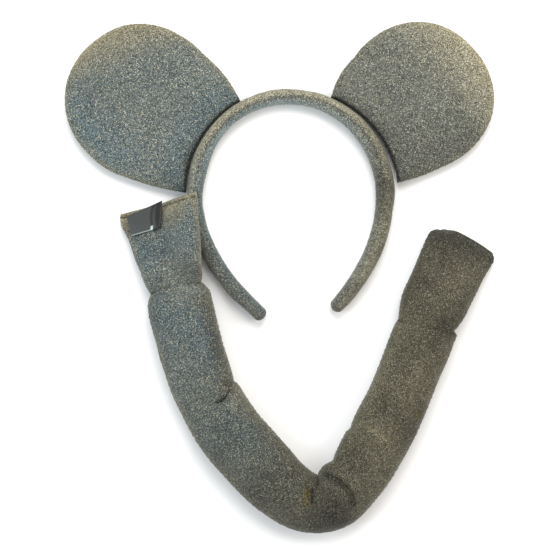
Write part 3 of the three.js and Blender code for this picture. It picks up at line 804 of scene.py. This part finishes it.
def tail_rings():
    """The whole tail as rings with their marks, before it is cut into lengths.

    A rounded section is carried along the middle line with the width and height of each place. Its
    edges are drawn in by the pinches, and it lies over the band's leg. Lumps of filling and the folds
    are then added to its top.
    """
    across, rise = section(92, tail_square)
    run = tail_run[:, None]
    half = tail_sizes[:, 0, None] / 2
    quarters = np.arange(len(tail_inside)) / 4
    soften = bell(np.arange(-6, 7) * tail_step, 3.0)
    inner, outer = (np.convolve(np.pad(np.interp(tail_spans, quarters, sides), 6, "edge"),
                                soften / soften.sum(), "valid") - edge_in(side, tail_run)
                    for sides, side in ((tail_inside, 1), (tail_outside, -1)))
    to_end = tail_length - run
    corner_in, corner_out = (1 - np.sqrt(1 - 0.97 * np.clip(1 - to_end / reach, 0, 1) ** 2)
                             for reach in (9.0, 4.5))
    inner = inner[:, None] - 7.5 * corner_in
    outer = outer[:, None] - 3.2 * corner_out
    fuzz = 0.22 * lumps(run, rise * 6 + across * 3, 2.6, 44) * ease(abs(across), 0.80, 0.95)
    sideways = np.where(across > 0, across * inner, across * outer) + fuzz * np.sign(across)
    creased = sum(depth * bell(run - run_at(spans), reach) for spans, depth, reach in tail_dips)
    tall = tail_sizes[:, 1, None] * (1 - creased) * (1 - 0.55 * corner_in)
    x, y = (tail_line[:, k, None] + tail_inward[:, k, None] * sideways for k in (0, 1))
    edge = outside_band(*(tail_line + tail_inward * half).T)[:, None]
    reaching = 1 - ease(edge, 1.0, 11.5)
    lift = lift_over_leg(x, y) * reaching
    swell = 0.55 * lumps(run, sideways, 26, 41) + 0.28 * lumps(run, sideways, 10, 42)
    fullness = ease(run, 0, 25) * ease(tail_length - run, 0, 14)
    top = ease(rise, -0.35, 0.35) + 0 * run
    height = tall / 2 * (1 + rise) + lift + swell * top * (0.25 + 0.75 * fullness)
    rings = np.stack([x, y, height], axis=2)
    bowed = (1.6 * (1 - across ** 2) - 2.2 * ease(across, 0.5, 1.0) + 0.8) * np.exp(-to_end / 6.0)
    rings[..., :2] += tail_heading[-1] * bowed[..., None]

    way = np.broadcast_to(tail_heading[:, None, :], rings[..., :2].shape)

    # the crease below the leg, a shallow lap all the way across, with a pucker at its outer end
    apart = run - run_at(2.0) + 2.6 - 3.0 * abs(across)
    lap = fold(rings, top, apart, way, rise=0.8, over=0.7, dip=1.3, width=6.0,
               mask=0.40 + 0.60 * ease(abs(across), 0.45, 1.0))
    shade = 0.26 * lap
    apart = run - run_at(2.0) - 4.0 - 4.0 * (across + 1)
    lap = fold(rings, top, apart, way, rise=0.5, over=0.4, dip=0.7, width=3.0,
               mask=1 - ease(across, -0.95, -0.72))
    shade += 0.35 * lap
    # the short deep fold on the inside of the left arm, which runs up to the notch
    apart = run - run_at(4.0) - 6.2 + 8.3 * ease(across, 0.5, 1.05)
    lap = fold(rings, top, apart, way, rise=1.5, over=1.9, dip=2.4, width=7.0,
               mask=ease(across, 0.12, 0.30) * (1 - 0.55 * ease(across, 0.5, 0.7)))
    shade += 0.85 * lap + 0.20 * bell(apart, 5) * top * ease(across, 0.1, 0.5)
    # the crease at the bottom of the bend, which comes straight down from the notch
    apart = rings[..., 0] - 24.0 - 0.05 * (rings[..., 1] + 154)
    left_way = np.broadcast_to(np.array([-1.0, 0.0]), rings[..., :2].shape)
    reached = (between(rings[..., 1], -165.5, -160, -155.5, -149.5)
               * between(run, *(run_at(spans) for spans in (6.2, 6.4, 7.5, 7.7))))
    lap = fold(rings, top, -apart, left_way, rise=0.8, over=0.4, dip=1.3, width=5.0, mask=reached)
    shade += 0.34 * lap + 0.20 * np.exp(-np.clip(-apart, 0, None) / 4) * (apart < 0) * reached * top
    # the round lobe of the bend that lies over the right arm
    lobe_centre, lobe_radius = np.array([27.9, -167.2]), 24.0
    from_lobe = rings[..., :2] - lobe_centre
    size = np.hypot(from_lobe[..., 0], from_lobe[..., 1])
    past = between(run, run_at(7.0) - 4, run_at(7.0) + 3, run_at(8.3), run_at(8.6))
    shown = past * ease(across, -0.62, -0.25) * (1 - ease(across, 0.72, 0.95))
    lap = fold(rings, top, size - lobe_radius, from_lobe / size[..., None],
               rise=1.7, over=2.4, dip=2.7, width=9.0, mask=shown)
    shade += 0.95 * lap * ease(rings[..., 0], 20, 33)
    # a painted highlight on the arm just past the lobe's edge
    beyond = np.exp(-np.clip(size - lobe_radius, 0, None) / 3) * (size > lobe_radius + 1.2) * shown * top
    # the ridge on the right arm, raised a little, with a painted highlight along it
    ridge = near_line(rings, (62.6, -107.6), (76.2, -116.8), 1.7) * top
    rings[:, :, 2] += 0.7 * near_line(rings, (60.0, -105.0), (80.0, -119.0), 4.5) * top
    # the crease above it
    apart = run - run_at(10.0) + 0.6 + 3.6 * across
    lap = fold(rings, top, -apart, -way, rise=0.9, over=0.7, dip=1.3, width=6.0,
               mask=0.15 + 0.85 * ease(abs(across), 0.62, 1.0))
    shade += 0.30 * lap

    rings[:, :, 2] = np.maximum(rings[:, :, 2], 0.0)
    # painted light and shade: cool blue light on the left arm, warm golden light on the right one and by the
    # hem, painted highlights along the sides, and painted shade that grows darker towards the bottom and the
    # right end
    hem = np.exp(-run / 5.0) * np.where(run > 1, 1, 0.7)
    edge_part = ease(abs(across), 0.72, 1.0)
    spans = tail_spans[:, None] + 0 * x
    drift = lumps(x, y, 60, 47)
    blue = np.interp(spans, *zip(*tail_blue)) + 0.22 * drift * (spans < 6)
    blue -= 0.5 * edge_part + 0.5 * ease(across, 0.45, 0.9) * (spans > 2.3)
    gold = np.interp(spans, *zip(*tail_gold))
    gold += 0.35 * hem + 0.22 * edge_part * (0.5 + 0.5 * lumps(x, y, 4, 49))
    at_top = bell(run - 4, 15) * top * ease(-across, -0.85, -0.35)
    gold += 0.40 * at_top
    blue -= 0.60 * at_top
    shade += np.interp(spans, np.arange(len(tail_shade)), tail_shade)
    shade += 0.10 * np.clip(lumps(x, y, 34, 48), 0, 1) + 0.08 * drift + 0.16 * at_top
    # painted shade on the left arm's inner edge, painted light on the right arm's inner edge, and painted shade
    # at the closed end
    shade += 0.22 * between(across, 0.35, 0.75, 0.86, 1.0) * (spans > 2.2) * (spans < 4)
    shade -= 0.16 * bell(across - 0.86, 0.16) * (spans > 8) * (spans < 10)
    shade += 0.25 * np.exp(-(tail_length - run) / 2.5)
    # painted highlights, each adding gold and taking shade away: the ridge, past the lobe, specks by the left
    # arm's inner edge, the hem's front edge, the lower left arm and the top left corner
    sparkle = 0.5 + 0.5 * lumps(x, y, 2.2, 50)
    painted_highlight = 0.75 * ridge * (0.35 + 0.65 * sparkle) + 0.6 * beyond * (0.4 + 0.6 * sparkle)
    painted_highlight += sparkle * (0.40 * near_line(rings, (-60.5, 54), (-58.8, 30), 1.6)
                       + 0.35 * near_line(rings, (-84, 51), (-64, 55), 5.0)
                       + 0.35 * near_line(rings, (-36, -92), (-24, -104), 4.0) * top)
    painted_highlight += 0.5 * near_line(rings, (-117, 45), (-118, 41), 3.5)
    gold += 0.30 * painted_highlight
    shade -= 0.55 * painted_highlight
    stain = near_line(rings, (19.9, -155.0), (19.6, -162.6), 2.7)
    stain += 0.75 * near_line(rings, (99.3, -98.2), (100.2, -101.0), 2.0)
    return rings, dict(gold=gold, blue=blue, shade=shade, stain=stain * top), across, rise


rings, marks, tail_across, tail_rise = tail_rings()
# the side seams, the folds and the two ends are held while the filling goes in
from_an_end = np.minimum(tail_run, tail_length - tail_run)[:, None]
seams_held = np.maximum(ease(abs(tail_across), 0.90, 0.985), ease(marks["shade"], 0.85, 1.3))
seams_held = np.maximum(seams_held, 1 - ease(from_an_end, 2, 9))
rings = rings + stuffed(rings, seams_held, cap=2.0, strides=(4, 2))
rings[:, :, 2] = np.maximum(rings[:, :, 2], 0.0)

# the open top end: the front edge stops short of the back lip, and the hem goes in between them
hem_lip, hem_past_end, hem_slant, hem_fade = 4.2, 3.4, 1.5, 6.0
edge_shift = -hem_lip * ease(-tail_rise, -0.3, 0.3) + hem_past_end - hem_slant * tail_across
fade = np.exp(-tail_run / hem_fade)[:, None]
rings[..., :2] += tail_heading[0] * (edge_shift * fade)[..., None]
# each ring of the turned-in hem: millimetres inside, share of the width and of the height, back and front shade
hem_in, hem_wide, hem_tall, hem_back, hem_front = np.array([
    (0.0, 0.970, 0.84, -0.15, 0.5),
    (1.8, 0.945, 0.62, 0.0, 0.9),
    (4.0, 0.940, 0.50, 0.95, 1.0),
    (8.0, 0.930, 0.45, 1.0, 1.0),
]).T[:, :, None]
flat_middle = lift_over_leg(rings[0, :, 0], rings[0, :, 1]) + 5.0
middle = rings[0].mean(axis=0)
hem_rings = middle + (rings[0] - middle) * hem_wide[..., None]
hem_rings[:, :, 2] = flat_middle + (rings[0, :, 2] - flat_middle) * hem_tall
hem_rings[..., :2] += tail_heading[0] * hem_in[..., None]
under_front = ease(tail_rise, -0.3, 0.3)
hem_shade = hem_back * (1 - under_front) + hem_front * under_front
hem_count = len(hem_rings)
rings = np.concatenate([hem_rings[::-1], rings])
marks = {mark: np.concatenate([np.repeat(values[:1], hem_count, axis=0), values])
         for mark, values in marks.items()}
# painted shade deep inside the hem, and painted golden light over the hem's rings and the lip
marks["shade"][:hem_count] = hem_shade[::-1]
marks["gold"][:hem_count + 1] = 0.6
marks["blue"][:hem_count + 1] = 0.0
marks = {mark: np.clip(values, -1, 1) for mark, values in marks.items()}

# the closed right end: its seam is drawn together over a few millimetres, in rings that are each some way
# out and keep some of the height
closing_reach = 1.6
end_middle, end_ring = rings[-1].mean(axis=0), rings[-1]
for out, keep in ((0.45, 0.80), (0.80, 0.50), (0.95, 0.20)):
    narrower = 0.88 + 0.12 * keep
    ring = end_middle + (end_ring - end_middle) * (narrower, narrower, keep)
    ring[:, :2] += tail_heading[-1] * out * closing_reach
    rings = np.concatenate([rings, ring[None]])
    marks = {mark: np.concatenate([values, values[-1:]]) for mark, values in marks.items()}

tail_velour = velour_material("tail_velour")
tail_cuts = (3.0, 5.5, 8.5)
cut_rings = [0, *(int(np.searchsorted(tail_run, run_at(cut))) + hem_count for cut in tail_cuts), len(rings) - 1]
tail_creases = (2.0, 4.0, 7.0, 10.0)
for i, crease in enumerate(tail_creases):
    first, last = cut_rings[i], cut_rings[i + 1]
    flat = tuple(end for end, cut in ((0, i > 0), (-1, i < 3)) if cut)
    own_marks = {mark: values[first:last + 1] for mark, values in marks.items()}
    length = closed_piece(f"tail_length_{i + 1}", rings[first:last + 1], tail_velour, flat, **own_marks)
    stood_for = (1, 2) if i == 0 else (i + 2,)
    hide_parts(*(f"tail_{number}_{part}" for number in stood_for for part in ("cover", "filling")))
    at = int(np.searchsorted(tail_run, run_at(crease)))
    middle, way = tail_line[at], tail_heading[at]
    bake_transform(length)


# ---- The satin loop ----
# A black satin ribbon folded double and sewn to the tail's top near its left side, to hang the tail by.
# Its selvedge has a thin pale thread along the lower edge.
satin_colours = (0.024, 0.028, 0.027), (0.044, 0.049, 0.047)
satin_fold_shade = (0.004, 0.005, 0.004)
selvedge_and_highlight_colour = (0.42, 0.50, 0.50)
ribbon_width = 18.0
ribbon_reach = 24.0
ribbon_thickness = 0.5
# how far its sewn end is from the tail's side, and how far the sewn and the folded end slant
ribbon_from_side = 4.3
ribbon_slant = (0.9, -4.7)

satin, satin_weave = plain_material("black_satin", 1400.0, 2.0, satin_colours, (0.32, 0.48))
satin_tree = satin.node_tree
satin_inputs = satin_tree.nodes["Principled BSDF"].inputs
satin_base = satin_inputs["Base Color"].links[0].from_socket
# the fold mark darkens the satin to painted shade in and beside the fold; the edge mark turns it pale for the
# thread and the tick, and a little for painted highlights
for mark, colour in (("fold", satin_fold_shade), ("edge", selvedge_and_highlight_colour)):
    share = node(satin_tree, "ShaderNodeAttribute", attribute_name=mark).outputs["Fac"]
    satin_base = mix_colour(satin_tree, share, satin_base, colour)
satin_tree.links.new(satin_base, satin_inputs["Base Color"])
satin_bump = node(satin_tree, "ShaderNodeBump", {"Height": satin_weave, "Strength": 0.25, "Distance": 0.1 * MM})
satin_tree.links.new(satin_bump.outputs["Normal"], satin_inputs["Normal"])


def tail_top(run, across):
    """The height of the tail's top near its top end, from the same section and lift as the tail."""
    width = np.interp(run, tail_run, tail_sizes[:, 0])
    tall = np.interp(run, tail_run, tail_sizes[:, 1])
    out = np.clip(abs(across) / (width / 2), 0, 1)
    place = [np.interp(run, tail_run, tail_line[:, k]) + np.interp(run, tail_run, tail_inward[:, k]) * across
             for k in (0, 1)]
    return tall / 2 * (1 + (1 - out ** tail_square) ** (1 / tail_square)) + lift_over_leg(*place), place


def ribbon_rings():
    """The doubled ribbon as rings across its width, each lying on the tail's top, with its marks.

    A ring runs out along the lower layer, round the fold, and back along the upper layer, first on its
    outside and then on its inside. The layers open a little towards the fold.
    """
    share = np.linspace(0, 1, 26)
    turn = np.linspace(-math.pi / 2, math.pi / 2, 13)[1:-1]
    width_share = np.linspace(0, 1, 22)
    gap = 0.25 + 1.35 * ease(share, 0.1, 1.0)
    gap_end = gap[-1]
    thick = ribbon_thickness
    top_end = 2 * thick + gap_end
    reach = ribbon_reach
    fold_out = np.stack([reach + top_end / 2 * np.cos(turn), top_end / 2 * (1 + np.sin(turn))], axis=1)
    fold_in = np.stack([reach + gap_end / 2 * np.cos(turn), thick + gap_end / 2 * (1 + np.sin(turn))], axis=1)
    lower_out = np.stack([share * reach, 0 * share], axis=1)
    upper_out = np.stack([share * reach, 2 * thick + gap], axis=1)[::-1]
    upper_in = np.stack([share * reach, thick + gap], axis=1)
    lower_in = np.stack([share * reach, thick + 0 * share], axis=1)[::-1]
    profile = np.concatenate([lower_out, fold_out, upper_out, upper_in, fold_in[::-1], lower_in])
    # painted shade round the outside of the fold and on the upper layer close to it
    shade_round_fold = np.concatenate([0 * share, 0.25 + 0 * turn, np.exp(-(1 - share[::-1]) * reach / 2.6), 0 * share,
                             0 * turn, 0 * share])
    start = -1.2 + 5.0 * (1 - profile[:, 0] / reach)
    wide = ribbon_width + 1.0 - 4.0 * (1 - profile[:, 0] / reach)
    along = start + wide * width_share[:, None]
    out_share = profile[:, 0] / reach
    slant = ribbon_slant[0] + (ribbon_slant[1] - ribbon_slant[0]) * out_share
    in_from_side = profile[:, 0] + 3.0 * out_share - tail_places[0, 2] / 2 + ribbon_from_side
    in_from_side = in_from_side + slant * width_share[:, None]
    height, place = tail_top(np.maximum(along, 0), in_from_side)
    back = np.minimum(along, 0)
    x = place[0] + tail_heading[0, 0] * back
    y = place[1] + tail_heading[0, 1] * back
    bow = 0.5 * np.sin(math.pi * width_share)[:, None] * np.clip(profile[:, 0] / reach, 0, 1)
    z = height + 0.9 + profile[:, 1] + bow
    rings = np.stack([x, y, z], axis=2)
    thread = (width_share > 0.965)[:, None] * (profile[:, 0] < reach * 0.72)
    upper = (profile[:, 1] > thick + 0.2) & (np.arange(len(profile)) < len(profile) / 2)
    tick = upper * (abs(out_share - 0.74) < 0.022) * (width_share > 0.82)[:, None]
    # painted shade across the upper layer near the fold, and painted highlights in a band beside it and towards
    # one side of the upper layer
    curved = out_share + 0.07 * (1 - (2 * width_share[:, None] - 1) ** 2) - 0.05
    shade_near_fold = upper * (0.9 * bell(curved - 0.74, 0.035) + ease(curved, 0.86, 0.93))
    shade_near_fold += 0.35 * upper * ease(curved, 0.66, 0.80)
    band = upper * between(curved, 0.77, 0.81, 0.84, 0.88) * (width_share > 0.03)[:, None]
    painted_highlight = 0.020 * band + 0.010 * ease(width_share, 0.45, 0.9)[:, None] * upper * (out_share < 0.7)
    edge = np.maximum(np.maximum(thread, tick), painted_highlight)
    return rings, dict(edge=edge, fold=np.clip(shade_round_fold + shade_near_fold + 0 * x, 0, 1))


rings, marks = ribbon_rings()
satin_loop = closed_piece("satin_ribbon_loop", rings, satin, **marks)
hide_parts("satin_loop")
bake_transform(satin_loop)


# ---- The floor and the light ----
# A plain white floor, a wide soft light over the ears, a cooler one from the left and a warmer one
# from the right.
floor_size = 8.0
floor_mesh = bpy.data.meshes.new("floor")
corner = floor_size / 2
floor_mesh.from_pydata([(-corner, -corner, 0), (corner, -corner, 0), (corner, corner, 0), (-corner, corner, 0)],
                       [], [(0, 1, 2, 3)])
floor = bpy.data.objects.new("floor", floor_mesh)
floor.location = (0, 0, -0.0002)
bpy.context.scene.collection.objects.link(floor)
pale_floor = bpy.data.materials.new("pale_floor")
pale_floor.use_nodes = True
pale_floor.node_tree.nodes["Principled BSDF"].inputs["Base Color"].default_value = (0.90, 0.90, 0.90, 1)
pale_floor.node_tree.nodes["Principled BSDF"].inputs["Roughness"].default_value = 0.9
pale_floor.node_tree.nodes["Principled BSDF"].inputs["Specular IOR Level"].default_value = 0.1
floor_mesh.materials.append(pale_floor)


def soft_light(name, place, size, power, colour):
    """A square soft light that faces the middle of the set."""
    light = bpy.data.lights.new(name, "AREA")
    light.size = size
    light.energy = power
    light.color = colour
    made = bpy.data.objects.new(name, light)
    made.location = place
    aim = -made.location
    made.rotation_mode = "QUATERNION"
    made.rotation_quaternion = aim.to_track_quat("-Z", "Y")
    bpy.context.scene.collection.objects.link(made)


soft_light("light_over_ears", (0.05, 0.75, 1.1), 0.7, 13.0, (1.0, 0.99, 0.97))
soft_light("cool_light_left", (-0.9, -0.1, 0.8), 0.6, 5.0, (0.82, 0.92, 1.0))
soft_light("warm_light_right", (0.9, 0.2, 0.8), 0.6, 5.0, (1.0, 0.93, 0.82))
sky = bpy.data.worlds.new("studio_air")
sky.use_nodes = True
sky.node_tree.nodes["Background"].inputs["Color"].default_value = (1.0, 1.0, 1.0, 1)
sky.node_tree.nodes["Background"].inputs["Strength"].default_value = 0.65
bpy.context.scene.world = sky
